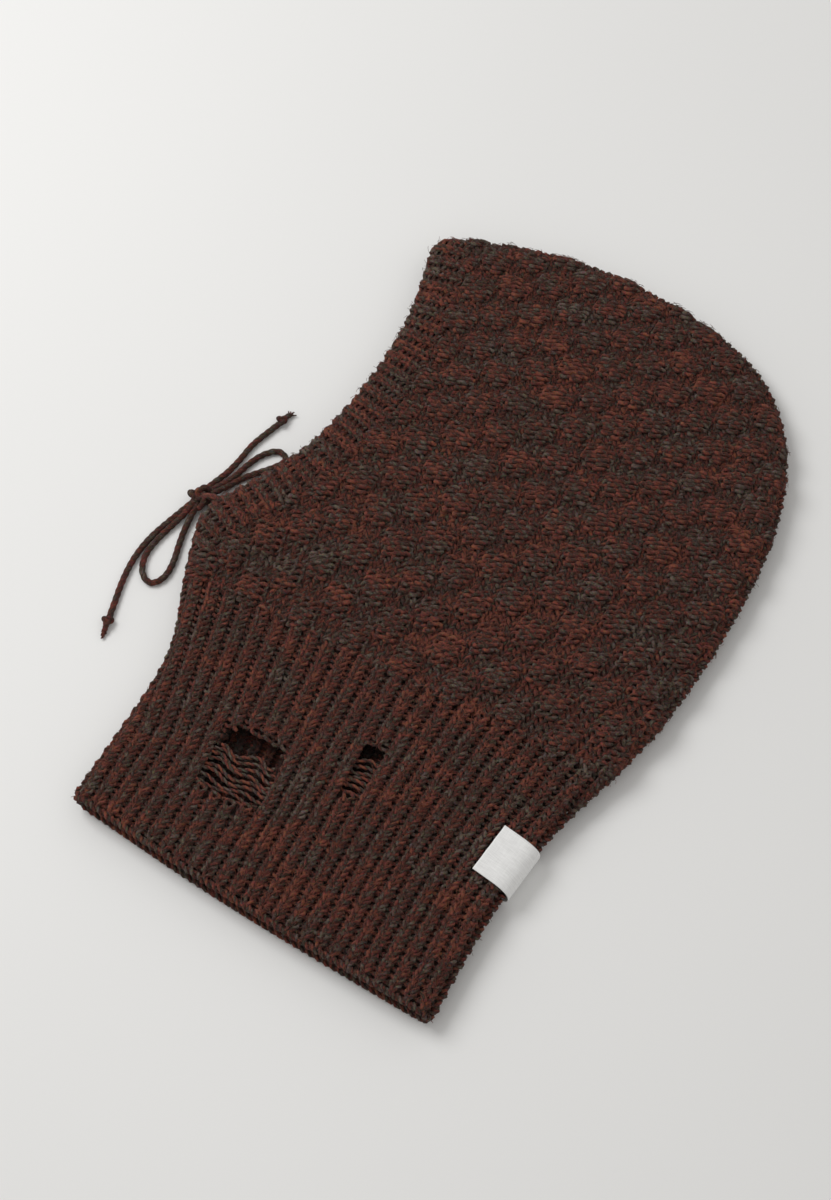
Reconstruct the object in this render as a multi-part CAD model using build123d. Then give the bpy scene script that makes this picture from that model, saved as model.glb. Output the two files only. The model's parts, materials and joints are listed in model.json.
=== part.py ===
from build123d import *
import math
import os

# A knitted balaclava hood, lying on its side with its two halves on top of
# each other. +Z is up, +Y runs from the neck hem to the crown, and the face
# opening looks towards -X. The origin is the middle of the resting footprint.
# All sizes are in millimetres.

# ---------------------------------------------------------------- driving sizes
BODY_LENGTH = 450.0          # lowest point of the hem to the top of the crown
HOOD_DEPTH = 290.0           # chin corner to the back of the head
LAY_HEIGHT = 18.0            # both halves and the air between them
FABRIC = 5.5                 # one half of the knit, ribs included
RIB_TOP_Y = -75.0            # where the ribbed neck turns into the basketweave
CASING_WIDTH = 22.0          # ribbed tunnel along the face opening
CASING_HEIGHT = 6.5          # the tunnel holds the cord, so it is thicker
CORD = 3.6                   # drawcord diameter
CORD_CLEARANCE = 0.4         # free space round the cord in its tunnel
LINKING_WIDTH = 2.0          # row that links the casing to the hood
HEM_BAND = 4.0               # bound-off edge at the neck
EDGE_ROUND = 5.2             # outer edges of the folded knit
BODY_GAP = 0.3               # free space between pieces of different bodies

HALF_LENGTH = BODY_LENGTH / 2
HALF_DEPTH = HOOD_DEPTH / 2
MID_Z = LAY_HEIGHT / 2
HOLLOW_LOW = FABRIC
HOLLOW_HIGH = LAY_HEIGHT - FABRIC
CORD_RADIUS = CORD / 2
TUNNEL_Z_LOW = CASING_HEIGHT / 2
TUNNEL_Z_HIGH = LAY_HEIGHT - CASING_HEIGHT / 2
OUTSIDE = 40.0               # how far a cutting strip reaches outside the outline
FAR = 2 * BODY_LENGTH


def place(points):
    """Outline points, given as fractions of the half depth and half length."""
    return [(u * HALF_DEPTH, v * HALF_LENGTH) for u, v in points]


# The side view of the hood, as four stretches that meet at its corners.
HEM = place([(-0.815, -0.915), (-0.06, -0.968), (0.71, -0.998)])
BACK_AND_CROWN = place([
    (0.71, -0.998), (0.717, -0.733), (0.772, -0.489), (0.903, -0.213), (0.985, 0.133),
    (0.985, 0.444), (0.883, 0.698), (0.655, 0.880), (0.276, 0.972), (-0.138, 1.0),
    (-0.483, 0.972), (-0.772, 0.902),
])
FACE = place([(-0.807, 0.853), (-0.728, 0.640), (-0.722, 0.370), (-0.814, 0.111), (-1.0, -0.124)])
THROAT = place([(-1.0, -0.124), (-0.903, -0.316), (-0.814, -0.467), (-0.797, -0.667), (-0.815, -0.915)])

# The hem band runs on past both of its corners, so that it is cut clean there.
HEM_STRETCH = place([(-0.95, -0.9), (-0.06, -0.968), (0.85, -1.0)])

# The casing and its linking row run on past the forehead corner, to the fold.
CASING_STRETCH = place([(-0.868, 0.985)]) + FACE

# The drawcord's route inside the casing, seen from above, chin to forehead.
CHIN_EXIT_Y = -18.0
LEG_INNER_X = -122.6
TUNNEL_ROUTE = [
    (-118.2, CHIN_EXIT_Y), (-110.0, 10.0), (-99.0, 52.0), (-95.5, 95.0), (-96.0, 140.0),
    (-99.0, 170.0), (-104.5, 193.5),
]
TUNNEL_RADII = [5.2, 60.0, 90.0, 120.0, 150.0, 60.0]
FOLD_REACH = 5.7             # how far the cord's turn at the forehead sticks out


# ---------------------------------------------------------------- shared shapes
def curve(points):
    """A smooth edge through the points, or a straight one through two."""
    return Line(*points) if len(points) == 2 else Spline(*points)


def slab(low, high):
    """All the space between two heights."""
    return Pos(0, 0, (low + high) / 2) * Box(FAR, FAR, high - low)


def strip(points, near, far, samples=9):
    """The flat region between two offsets of a stretch; positive offsets lie to its left."""
    edge = curve(points)
    rails = []
    for offset in (near, far):
        rail = []
        for index in range(samples):
            share = index / (samples - 1)
            along = edge.tangent_at(share)
            rail.append(edge.position_at(share) + Vector(-along.Y, along.X) * offset)
        rails.append(rail)
    sides = [
        Spline(*rails[0]), Line(rails[0][-1], rails[1][-1]),
        Spline(*rails[1]), Line(rails[1][0], rails[0][0]),
    ]
    return make_face(Wire(sides))


def column(face, low, high):
    """A flat region raised between two heights."""
    return Pos(0, 0, low) * extrude(face, high - low)


def tube(points, radii, diameter):
    """A round tube along straight runs joined by tangent arcs."""
    path = FilletPolyline(*points, radius=radii) if radii else Line(*points)
    start = Plane(origin=path @ 0, z_dir=path % 0)
    return sweep(start * Circle(diameter / 2), path=path)


def arc_radii(points, share=0.45):
    """For each corner, an arc as large as its two runs allow."""
    radii = []
    for before, corner, after in zip(points, points[1:], points[2:]):
        incoming = Vector(*corner) - Vector(*before)
        outgoing = Vector(*after) - Vector(*corner)
        turn = math.radians(incoming.get_angle(outgoing))
        shorter = min(incoming.length, outgoing.length)
        radii.append(share * shorter / math.tan(turn / 2))
    return radii


def only_solids(shape):
    """The solids of a cut shape, without slivers."""
    return [solid for solid in shape.solids() if solid.volume > 1.0]


parts = {}


def keep(name, shape):
    """Store one named piece and write its file."""
    solids = only_solids(shape)
    parts[name] = solids[0] if len(solids) == 1 else Compound(solids)
    export_step(parts[name], f"parts/{name}.step")


# ---------------------------------------------------------------- hood and neck
def outer_form():
    """The folded hood as one filled form with rounded back, crown and throat edges."""
    forehead_cap = Line(BACK_AND_CROWN[-1], FACE[0])
    outline = Wire([curve(HEM), curve(BACK_AND_CROWN), forehead_cap, curve(FACE), curve(THROAT)])
    form = extrude(make_face(outline), LAY_HEIGHT)
    middle = [curve(BACK_AND_CROWN) @ 0.5, curve(THROAT) @ 0.5]
    rounded = []
    for level in (0.0, LAY_HEIGHT):
        for point in middle:
            at = Vector(point.X, point.Y, level)
            rounded.append(min(form.edges(), key=lambda edge: edge.distance_to(at)))
    return fillet(rounded, EDGE_ROUND)


def through(points, near, far, samples=9):
    """Everything above and below a strip along one stretch of the outline."""
    return column(strip(points, near, far, samples), -1.0, LAY_HEIGHT + 1.0)


def zones():
    """The regions, seen from above, that the folded form is cut into."""
    linking_end = CASING_WIDTH + LINKING_WIDTH
    return {
        "back_wall": through(BACK_AND_CROWN, -OUTSIDE, FABRIC, samples=15),
        "throat_wall": through(THROAT, -OUTSIDE, FABRIC),
        "throat": through(THROAT, -OUTSIDE, FABRIC + 1.0),
        "casing": through(CASING_STRETCH, -OUTSIDE, CASING_WIDTH),
        "linking": through(CASING_STRETCH, CASING_WIDTH, linking_end),
        "hem": through(HEM_STRETCH, -OUTSIDE, HEM_BAND),
        "neck": Pos(0, RIB_TOP_Y - FAR / 2, 0) * Box(FAR, FAR, FAR),
        "front": Pos(-FAR / 2, 0, 0) * Box(FAR, FAR, FAR),
    }


def make_half(side, form, zone, tunnels):
    """One half: its panel, neck, hem band, linking row and casing."""
    is_left = side == "left"
    layer = form & (slab(HOLLOW_HIGH, LAY_HEIGHT) if is_left else slab(0.0, HOLLOW_LOW))
    neck = (layer & zone["neck"]) - zone["hem"] - label_space()
    keep(f"neck_rib_{side}", neck - ladder_holes() if is_left else neck)
    keep(f"hem_bind_off_{side}", layer & zone["hem"])
    keep(f"hood_panel_{side}", layer - zone["neck"] - zone["casing"] - zone["linking"])
    keep(f"casing_linking_{side}", layer & zone["linking"])
    mouth = slab(CASING_HEIGHT, LAY_HEIGHT - CASING_HEIGHT) - zone["back_wall"]
    level = slab(MID_Z, LAY_HEIGHT) if is_left else slab(0.0, MID_Z)
    keep(f"face_casing_{side}", (form & zone["casing"] & level) - mouth - tunnels)


def make_seams(form, zone):
    """The edges that close the two halves, between the panels."""
    walls = form & slab(HOLLOW_LOW, HOLLOW_HIGH) & (zone["back_wall"] + zone["throat_wall"])
    walls -= zone["casing"]
    keep("throat_seam", walls & zone["throat"])
    keep("crown_seam", walls - zone["neck"] - zone["throat"])
    keep("nape_seam", (walls & zone["neck"]) - zone["front"] - label_space())


def make_soft_shell():
    """The panels, neck, casings, seams and hem band, cut from one form."""
    form = outer_form()
    zone = zones()
    tunnels = drawcord_space()
    for side in ("left", "right"):
        make_half(side, form, zone, tunnels)
    make_seams(form, zone)


# ---------------------------------------------------------------- worn holes
YARN = 2.0                   # a loose yarn that bridges a worn hole
LARGE_HOLE = {"x": (-64.0, -32.0), "y": (-168.0, -130.0), "yarns": 7}
SMALL_HOLE = {"x": (1.0, 17.0), "y": (-136.0, -108.0), "yarns": 5}
HOLE_GAP_SHARE = 0.28        # the top of each hole, where no yarn is left


def ladder_holes():
    """The two worn holes through the upper half of the neck."""
    holes = None
    for hole in (LARGE_HOLE, SMALL_HOLE):
        width = hole["x"][1] - hole["x"][0]
        height = hole["y"][1] - hole["y"][0]
        centre = Pos(sum(hole["x"]) / 2, sum(hole["y"]) / 2, LAY_HEIGHT)
        opening = centre * extrude(RectangleRounded(width, height, 4.0), FABRIC + 1.0, both=True)
        holes = opening if holes is None else holes + opening
    return holes


def ladder_yarns(hole):
    """Loose yarns across a hole, each bowed towards the hem."""
    low_x, high_x = hole["x"]
    low_y, high_y = hole["y"]
    clear_y = high_y - HOLE_GAP_SHARE * (high_y - low_y)
    pitch = (clear_y - low_y) / (hole["yarns"] + 0.5)
    level = LAY_HEIGHT - FABRIC / 2
    yarns = []
    for index in range(hole["yarns"]):
        y = low_y + pitch * (index + 1)
        middle = ((low_x + high_x) / 2, y - 0.4 * YARN, level)
        path = ThreePointArc((low_x, y, level), middle, (high_x, y, level))
        start = Plane(origin=path @ 0, z_dir=path % 0)
        yarns.append(sweep(start * Circle(YARN / 2), path=path))
    return Compound([solid for yarn in yarns for solid in yarn.solids()])


# ---------------------------------------------------------------- label
LABEL_WIDTH = 32.0           # along the back edge
LABEL_REACH = 22.0           # from the rolled edge over each half
LABEL_THICKNESS = 0.7
LABEL_MIDDLE = (107.4, -134.5)
LABEL_TILT = 8.0             # the back edge leans this far from +Y, in degrees
LABEL_STAND_OFF = 0.3        # air between the label and the knit
LABEL_ROUND = 6.0            # the label's own rolled corners


def label_frame():
    """The label's own place: across the back edge, square to it, from the table up."""
    return Pos(LABEL_MIDDLE[0], LABEL_MIDDLE[1], 0) * Rot(0, 0, -LABEL_TILT)


def label_block(skin, width):
    """The space inside the label, less a skin all round, with rolled outer corners."""
    low = LABEL_THICKNESS + skin
    high = LAY_HEIGHT + LABEL_STAND_OFF - skin
    outer_x = LABEL_STAND_OFF - skin
    block = Pos(outer_x - FAR / 2, 0, (low + high) / 2) * Box(FAR, width, high - low)
    rolled = block.edges().filter_by(Axis.Y).group_by(Axis.X)[-1]
    return fillet(rolled, LABEL_ROUND - skin)


def label_space():
    """Where the folded label lies, so that the knit under it is pressed in."""
    room = Pos(0, 0, MID_Z) * Box(2 * LABEL_REACH + 1.0, LABEL_WIDTH + 0.6, FAR)
    return label_frame() * (room - label_block(0.1, 2 * LABEL_WIDTH))


def make_label():
    """A folded strip round the back edge, flush with the underside."""
    folded = label_block(-LABEL_THICKNESS, LABEL_WIDTH) - label_block(0.0, 2 * LABEL_WIDTH)
    folded &= Pos(-LABEL_REACH + FAR / 2, 0, 0) * Box(FAR, FAR, FAR)
    keep("label", label_frame() * folded)


# ---------------------------------------------------------------- drawcord
KNOT = (13.0, 12.0, 10.0)    # the bow's knot, lying beside the chin
KNOT_AT = (-152.0, CHIN_EXIT_Y, 5.2)
TAIL_KNOT = 6.4
TABLE = CORD_RADIUS + 0.1    # height of a cord that lies on the table

TAIL_UPPER = [
    (-153.0, -13.6, 4.2), (-151.6, -6.0, 2.4), (-148.0, 4.0, TABLE), (-145.8, 15.0, TABLE),
    (-144.8, 27.0, TABLE), (-141.0, 38.0, TABLE), (-138.3, 46.0, TABLE),
]
LOOP_UPPER = [
    (-150.0, -13.8, 6.4), (-146.4, -6.0, 4.4), (-142.6, 4.0, 2.6), (-140.6, 14.0, TABLE),
    (-136.6, 24.0, TABLE), (-129.2, 31.4, TABLE), (-121.6, 28.6, TABLE), (-124.0, 20.0, TABLE),
    (-130.4, 11.4, TABLE), (-136.4, 2.4, TABLE), (-141.4, -6.0, 3.4), (-147.0, -14.0, 6.4),
]
TAIL_LOWER = [
    (-154.6, -22.0, 4.6), (-158.4, -31.0, 2.6), (-162.0, -41.0, TABLE), (-165.3, -53.0, TABLE),
    (-166.4, -67.0, TABLE), (-164.6, -82.0, TABLE), (-161.4, -95.0, TABLE), (-159.0, -105.0, TABLE),
]
LOOP_LOWER = [
    (-153.4, -22.5, 6.0), (-155.4, -31.0, 3.0), (-158.6, -41.0, TABLE), (-161.2, -52.0, TABLE),
    (-162.0, -63.5, TABLE), (-157.6, -73.6, TABLE), (-149.8, -77.4, TABLE), (-144.6, -70.0, TABLE),
    (-145.4, -59.0, TABLE), (-148.6, -48.0, TABLE), (-151.0, -37.0, TABLE), (-151.6, -27.0, 3.2),
    (-151.4, -21.5, 6.0),
]
TAIL_END_UPPER = (-137.6, 48.4)
TAIL_END_LOWER = (-158.4, -107.6)


def tunnel_tube(first_x, diameter):
    """A tube along the cord's route in both casings, starting at the chin from first_x."""
    route = [(first_x, CHIN_EXIT_Y)] + TUNNEL_ROUTE
    before, last = Vector(*route[-2]), Vector(*route[-1])
    fold = last + (last - before).normalized() * FOLD_REACH
    plan = route[:-1] + [(fold.X, fold.Y)]
    upper = [(x, y, TUNNEL_Z_HIGH) for x, y in plan]
    lower = [(x, y, TUNNEL_Z_LOW) for x, y in reversed(plan)]
    fold_radius = 0.48 * (TUNNEL_Z_HIGH - TUNNEL_Z_LOW)
    radii = TUNNEL_RADII + [fold_radius, fold_radius] + TUNNEL_RADII[::-1]
    return tube(upper + lower, radii, diameter)


def leg_points(level):
    """One cord end, from inside the casing out to the bow."""
    bow_side = KNOT_AT[0] + KNOT[0] / 2
    inside = (LEG_INNER_X, CHIN_EXIT_Y, level)
    if level < KNOT_AT[2]:
        return [inside, (bow_side - 1.5, CHIN_EXIT_Y, level)], None
    bend = (bow_side + 3.0, CHIN_EXIT_Y, level)
    return [inside, bend, (bow_side - 1.5, CHIN_EXIT_Y, KNOT_AT[2] + 2.5)], [3.0]


def drawcord_space():
    """The tunnel that the drawcord runs in, open at the chin, with free space round it."""
    return tunnel_tube(-HALF_DEPTH - OUTSIDE, CORD + 2 * CORD_CLEARANCE)


def cord_end_knot(at):
    """A small overhand knot, drawn as its outer lump with a short tip."""
    return Pos(at[0], at[1], TAIL_KNOT / 2) * Sphere(TAIL_KNOT / 2)


def make_drawcord():
    """The cord inside the casing, and the bow with its legs, loops and tails."""
    keep("drawcord_in_casing", tunnel_tube(LEG_INNER_X + BODY_GAP, CORD))
    knot = Pos(*KNOT_AT) * Box(*KNOT)
    keep("bow_knot", fillet(knot.edges(), 3.5))
    for side, level in {"left": TUNNEL_Z_HIGH, "right": TUNNEL_Z_LOW}.items():
        keep(f"cord_leg_{side}", tube(*leg_points(level), CORD))
    routes = {
        "bow_loop_upper": LOOP_UPPER, "bow_loop_lower": LOOP_LOWER,
        "cord_tail_upper": TAIL_UPPER, "cord_tail_lower": TAIL_LOWER,
    }
    for name, route in routes.items():
        radii = arc_radii(route)
        print(name, "radii", [round(radius, 1) for radius in radii])
        piece = tube(route, radii, CORD)
        length = FilletPolyline(*route, radius=radii).length
        filled = piece.volume / (length * math.pi * CORD_RADIUS**2)
        print(name, "length", round(length, 1), "volume over length times section", round(filled, 3))
        keep(name, piece)
    keep("tail_knot_upper", cord_end_knot(TAIL_END_UPPER))
    keep("tail_knot_lower", cord_end_knot(TAIL_END_LOWER))


os.makedirs("parts", exist_ok=True)
make_soft_shell()
keep("ladder_yarns_large", ladder_yarns(LARGE_HOLE))
keep("ladder_yarns_small", ladder_yarns(SMALL_HOLE))
make_label()
make_drawcord()
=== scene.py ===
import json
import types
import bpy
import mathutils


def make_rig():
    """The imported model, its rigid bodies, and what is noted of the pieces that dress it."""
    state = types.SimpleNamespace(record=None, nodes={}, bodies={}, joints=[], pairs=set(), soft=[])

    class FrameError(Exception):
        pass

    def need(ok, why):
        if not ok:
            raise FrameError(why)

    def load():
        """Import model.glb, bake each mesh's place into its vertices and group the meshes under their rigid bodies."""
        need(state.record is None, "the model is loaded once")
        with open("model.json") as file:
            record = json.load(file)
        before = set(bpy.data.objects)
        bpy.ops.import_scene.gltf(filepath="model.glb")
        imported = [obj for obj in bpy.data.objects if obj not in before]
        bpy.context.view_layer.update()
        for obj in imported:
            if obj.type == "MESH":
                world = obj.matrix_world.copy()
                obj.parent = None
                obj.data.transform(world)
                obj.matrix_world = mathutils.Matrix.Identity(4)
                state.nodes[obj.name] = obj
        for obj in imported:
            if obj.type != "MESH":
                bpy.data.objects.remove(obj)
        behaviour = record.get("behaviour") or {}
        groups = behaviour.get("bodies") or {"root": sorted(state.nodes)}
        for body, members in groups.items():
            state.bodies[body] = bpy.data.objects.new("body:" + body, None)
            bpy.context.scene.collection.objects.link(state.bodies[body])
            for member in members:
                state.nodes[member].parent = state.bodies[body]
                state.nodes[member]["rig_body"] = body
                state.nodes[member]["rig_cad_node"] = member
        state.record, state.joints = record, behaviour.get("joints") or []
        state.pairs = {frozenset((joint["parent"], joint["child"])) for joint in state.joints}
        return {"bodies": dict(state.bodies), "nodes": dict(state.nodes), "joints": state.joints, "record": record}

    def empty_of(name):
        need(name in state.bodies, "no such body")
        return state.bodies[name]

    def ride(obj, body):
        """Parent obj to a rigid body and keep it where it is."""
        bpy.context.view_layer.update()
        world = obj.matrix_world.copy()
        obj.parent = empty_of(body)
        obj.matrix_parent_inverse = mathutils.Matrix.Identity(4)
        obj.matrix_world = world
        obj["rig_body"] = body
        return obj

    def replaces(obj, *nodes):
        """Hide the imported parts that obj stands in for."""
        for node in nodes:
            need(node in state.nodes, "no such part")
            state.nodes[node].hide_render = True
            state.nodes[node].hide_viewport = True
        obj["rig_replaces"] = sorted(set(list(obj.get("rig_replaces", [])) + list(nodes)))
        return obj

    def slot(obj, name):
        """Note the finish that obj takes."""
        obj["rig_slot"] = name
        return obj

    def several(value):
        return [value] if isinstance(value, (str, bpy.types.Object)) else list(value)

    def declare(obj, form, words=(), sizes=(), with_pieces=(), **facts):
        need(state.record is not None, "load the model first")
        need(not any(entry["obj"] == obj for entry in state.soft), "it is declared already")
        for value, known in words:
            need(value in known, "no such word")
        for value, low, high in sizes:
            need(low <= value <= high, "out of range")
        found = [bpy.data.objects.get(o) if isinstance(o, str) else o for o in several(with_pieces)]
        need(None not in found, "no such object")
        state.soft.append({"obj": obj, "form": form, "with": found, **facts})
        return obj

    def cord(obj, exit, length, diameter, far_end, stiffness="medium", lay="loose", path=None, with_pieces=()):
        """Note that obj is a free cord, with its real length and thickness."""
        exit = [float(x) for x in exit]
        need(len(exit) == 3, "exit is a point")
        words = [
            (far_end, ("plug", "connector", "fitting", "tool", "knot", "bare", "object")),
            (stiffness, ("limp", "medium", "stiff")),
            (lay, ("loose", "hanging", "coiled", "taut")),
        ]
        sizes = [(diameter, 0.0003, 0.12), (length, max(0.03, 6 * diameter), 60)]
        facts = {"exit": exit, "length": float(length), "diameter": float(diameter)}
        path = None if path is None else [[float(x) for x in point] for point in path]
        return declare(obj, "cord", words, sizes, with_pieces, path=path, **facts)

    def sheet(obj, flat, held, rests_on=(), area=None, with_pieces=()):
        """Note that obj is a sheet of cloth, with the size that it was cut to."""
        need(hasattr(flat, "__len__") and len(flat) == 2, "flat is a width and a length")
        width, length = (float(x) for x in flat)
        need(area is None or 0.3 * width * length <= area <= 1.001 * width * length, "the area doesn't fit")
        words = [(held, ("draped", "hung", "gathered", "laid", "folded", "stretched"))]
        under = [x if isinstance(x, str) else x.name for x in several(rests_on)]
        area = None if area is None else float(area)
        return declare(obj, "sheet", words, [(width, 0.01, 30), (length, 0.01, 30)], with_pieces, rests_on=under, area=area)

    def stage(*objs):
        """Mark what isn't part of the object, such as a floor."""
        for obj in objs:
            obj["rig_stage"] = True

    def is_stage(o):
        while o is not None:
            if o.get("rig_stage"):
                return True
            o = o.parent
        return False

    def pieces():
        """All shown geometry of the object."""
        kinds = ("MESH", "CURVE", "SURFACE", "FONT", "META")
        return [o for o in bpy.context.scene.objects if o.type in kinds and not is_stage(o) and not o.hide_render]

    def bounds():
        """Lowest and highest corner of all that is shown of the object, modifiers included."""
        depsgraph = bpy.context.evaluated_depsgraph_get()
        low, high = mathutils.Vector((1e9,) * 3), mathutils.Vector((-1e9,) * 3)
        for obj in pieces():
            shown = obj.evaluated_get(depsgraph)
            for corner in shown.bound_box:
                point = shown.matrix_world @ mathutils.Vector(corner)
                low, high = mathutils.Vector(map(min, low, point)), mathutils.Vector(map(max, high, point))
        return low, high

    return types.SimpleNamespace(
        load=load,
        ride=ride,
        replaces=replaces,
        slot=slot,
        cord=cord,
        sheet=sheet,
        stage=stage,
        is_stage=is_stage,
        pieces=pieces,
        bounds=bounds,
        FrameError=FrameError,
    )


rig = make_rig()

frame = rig.load()
cad_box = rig.bounds()

import json
import math

import bpy
import numpy as np
from mathutils import Vector

# A knitted balaclava hood lying on its side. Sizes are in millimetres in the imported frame:
# +Z is up, +Y runs from the neck hem to the crown, and the face opening looks towards -X.
# Every course of the knit is one real yarn, looped stitch by stitch.

MM = 0.001
TAU = 2 * math.pi
random = np.random.default_rng(7)


# ------------ driving sizes
HALF_DEPTH = 145.0
HALF_LENGTH = 225.0
LAY_HEIGHT = 18.0
MID_Z = LAY_HEIGHT / 2
RIB_TOP_Y = -67.0            # where the ribbed neck turns into the basketweave
CASING_WIDTH = 22.0          # ribbed tunnel along the face opening
SEAM_GAP = 1.0               # from the tunnel to the row that closes it

COLUMN = 6.2                 # one column of stitches, where the basketweave lies wide
COLUMN_START = 7.7           # x of the side line between two columns of blocks
COLUMNS = (-39, 34)
FAN_Y = (-160.0, -115.0, -75.0, -30.0, 10.0, 40.0)
FAN_SIZE = (0.70, 0.755, 0.82, 0.91, 0.985, 1.0)   # the columns draw together towards the neck
RIB_COURSES = 41             # rows of the ribbed neck
RIB_COURSE = 3.65
COURSE_Y = (-60.0, -30.0, 2.0, 40.0, 125.0)
COURSE_SIZE = (4.0, 3.84, 3.46, 3.22, 2.85)  # rows of the basketweave, closer towards the crown
BLOCK_WALES = 3              # basketweave block, in columns
BLOCK_COURSES = 4            # and in rows
YARN = {"rib": 1.3, "hood": 1.45, "casing": 1.35}   # radii
FABRIC_LEVEL = 14.6          # middle of the upper half's knit
ROLL = 7.0                   # radius, seen from above, of a closed edge
EDGE_INSET = 2.6             # the fabric's middle lies this far inside its outline
CORD = 3.6
CORNER_REACH = 19            # the crown's corner at the forehead is rounded over this many mm
PROBE = 0.4                  # a step off the fabric, to find which way it faces


def place(points):
    """Outline points, given as fractions of the half depth and half length."""
    return np.array([(u * HALF_DEPTH, v * HALF_LENGTH) for u, v in points])


HEM = place([(-0.815, -0.915), (-0.06, -0.968), (0.71, -0.998)])
BACK_AND_CROWN = place([
    (0.71, -0.998), (0.717, -0.733), (0.772, -0.489), (0.903, -0.213), (0.985, 0.133),
    (0.985, 0.444), (0.883, 0.698), (0.655, 0.880), (0.276, 0.970), (-0.138, 0.992),
    (-0.483, 0.955), (-0.765, 0.882),
])
FACE = place([(-0.800, 0.838), (-0.728, 0.640), (-0.722, 0.370), (-0.814, 0.111), (-0.91, -0.01),
              (-1.0, -0.124)])
THROAT = place([
    (-1.0, -0.124), (-0.903, -0.316), (-0.814, -0.467), (-0.797, -0.667), (-0.815, -0.915),
])

LABEL_WIDTH = 29.0
LABEL_MIDDLE = (107.0, -135.0)
HOLES = {
    "large": {"x": (-66.0, -28.0), "y": (-173.0, -129.0), "floats": 9, "wave": 2.0},
    "small": {"x": (1.0, 18.0), "y": (-139.0, -107.0), "floats": 7, "wave": 1.3},
}


# ------------ lines in the plane
def lengths_along(points):
    """The distance along a line of points, at each point."""
    return np.concatenate([[0], np.cumsum(np.linalg.norm(np.diff(points, axis=0), axis=1))])


def table_at(table, lengths, at):
    """A table's rows at places along a line."""
    return np.stack([np.interp(at, lengths, table[:, k]) for k in range(table.shape[1])], axis=-1)


def evenly(points, step):
    """The same line with points about step apart."""
    along = lengths_along(points)
    count = max(2, int(round(along[-1] / step)) + 1)
    return table_at(points, along, np.linspace(0, along[-1], count))


def spline_through(points, step=1.0):
    """Evenly spaced points on a natural cubic spline through the given ones."""
    points = np.asarray(points, float)
    knots = lengths_along(points)
    gaps = np.diff(knots)
    count = len(points)
    matrix = np.eye(count)
    slopes = np.zeros_like(points)
    for i in range(1, count - 1):
        matrix[i, i - 1:i + 2] = gaps[i - 1], 2 * (gaps[i - 1] + gaps[i]), gaps[i]
        slopes[i] = 6 * ((points[i + 1] - points[i]) / gaps[i] - (points[i] - points[i - 1]) / gaps[i - 1])
    bends = np.linalg.solve(matrix, slopes)
    fine = np.linspace(0, knots[-1], max(2, int(8 * knots[-1] / step)))
    span = np.clip(np.searchsorted(knots, fine, side="right") - 1, 0, count - 2)
    gap = gaps[span][:, None]
    a = (knots[span + 1] - fine)[:, None]
    b = (fine - knots[span])[:, None]
    low, high = points[span], points[span + 1]
    low_bend, high_bend = bends[span], bends[span + 1]
    curve = (low_bend * a**3 + high_bend * b**3) / (6 * gap)
    curve += (low / gap - low_bend * gap / 6) * a + (high / gap - high_bend * gap / 6) * b
    return evenly(curve, step)


def unit(vectors):
    """The vectors at length 1."""
    return vectors / np.maximum(np.linalg.norm(vectors, axis=-1, keepdims=True), 1e-9)


def tangents(line):
    """The direction of a line at each of its points."""
    return unit(np.gradient(line, axis=0))


def left_of(along):
    """Directions in the plane, each turned a quarter turn to its left."""
    return np.stack([-along[..., 1], along[..., 0]], axis=-1)


def raised(points, height):
    """Points of the plane with a height as their third coordinate."""
    height = np.broadcast_to(height, points.shape[:-1])
    return np.concatenate([points, height[..., None]], axis=-1)


def square_to(path, normals):
    """At each point of a path, two directions square to it: the one nearest the normal, and across."""
    along = tangents(path)
    up = unit(normals - along * (normals * along).sum(axis=1, keepdims=True))
    return up, np.cross(along, up)


def side_distance(line, points):
    """Each point's distance from a line, positive on the line's left."""
    left = left_of(tangents(line))
    distance = np.empty(len(points))
    for start in range(0, len(points), 4000):
        block = points[start:start + 4000]
        gaps = block[:, None, :] - line[None, :, :]
        squares = (gaps**2).sum(axis=2)
        nearest = squares.argmin(axis=1)
        rows = np.arange(len(block))
        offset = gaps[rows, nearest]
        sign = np.where((offset * left[nearest]).sum(axis=1) >= 0, 1.0, -1.0)
        distance[start:start + 4000] = sign * np.sqrt(squares[rows, nearest])
    return distance


class DistanceMap:
    """Signed distance from a line on a 2 mm grid, read with bilinear interpolation."""

    STEP = 2.0
    REACH = 60.0

    def __init__(self, line):
        self.low = np.array([-HALF_DEPTH - self.REACH, -HALF_LENGTH - self.REACH])
        self.columns = int(2 * (HALF_DEPTH + self.REACH) / self.STEP) + 1
        self.rows = int(2 * (HALF_LENGTH + self.REACH) / self.STEP) + 1
        xs = self.low[0] + self.STEP * np.arange(self.columns)
        ys = self.low[1] + self.STEP * np.arange(self.rows)
        grid = np.stack(np.meshgrid(xs, ys, indexing="ij"), axis=-1)
        self.values = side_distance(line, grid.reshape(-1, 2)).reshape(self.columns, self.rows)
        self.slopes = np.stack(np.gradient(self.values, self.STEP), axis=-1)

    def read(self, table, points):
        """The table's value at each point."""
        place_in = (points - self.low) / self.STEP
        cell = np.clip(np.floor(place_in).astype(int), 0, [self.columns - 2, self.rows - 2])
        share = np.clip(place_in - cell, 0, 1)
        if table.ndim == 3:
            share = share[..., None, :]
        i, j = cell[..., 0], cell[..., 1]
        s, t = share[..., 0], share[..., 1]
        low = table[i, j] * (1 - s) + table[i + 1, j] * s
        high = table[i, j + 1] * (1 - s) + table[i + 1, j + 1] * s
        return low * (1 - t) + high * t

    def distance(self, points):
        return self.read(self.values, points)

    def inward(self, points):
        return unit(self.read(self.slopes, points))


hem_line = spline_through(HEM)
crown_line = spline_through(BACK_AND_CROWN)
throat_line = spline_through(THROAT)
face_line = spline_through(FACE)


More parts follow.
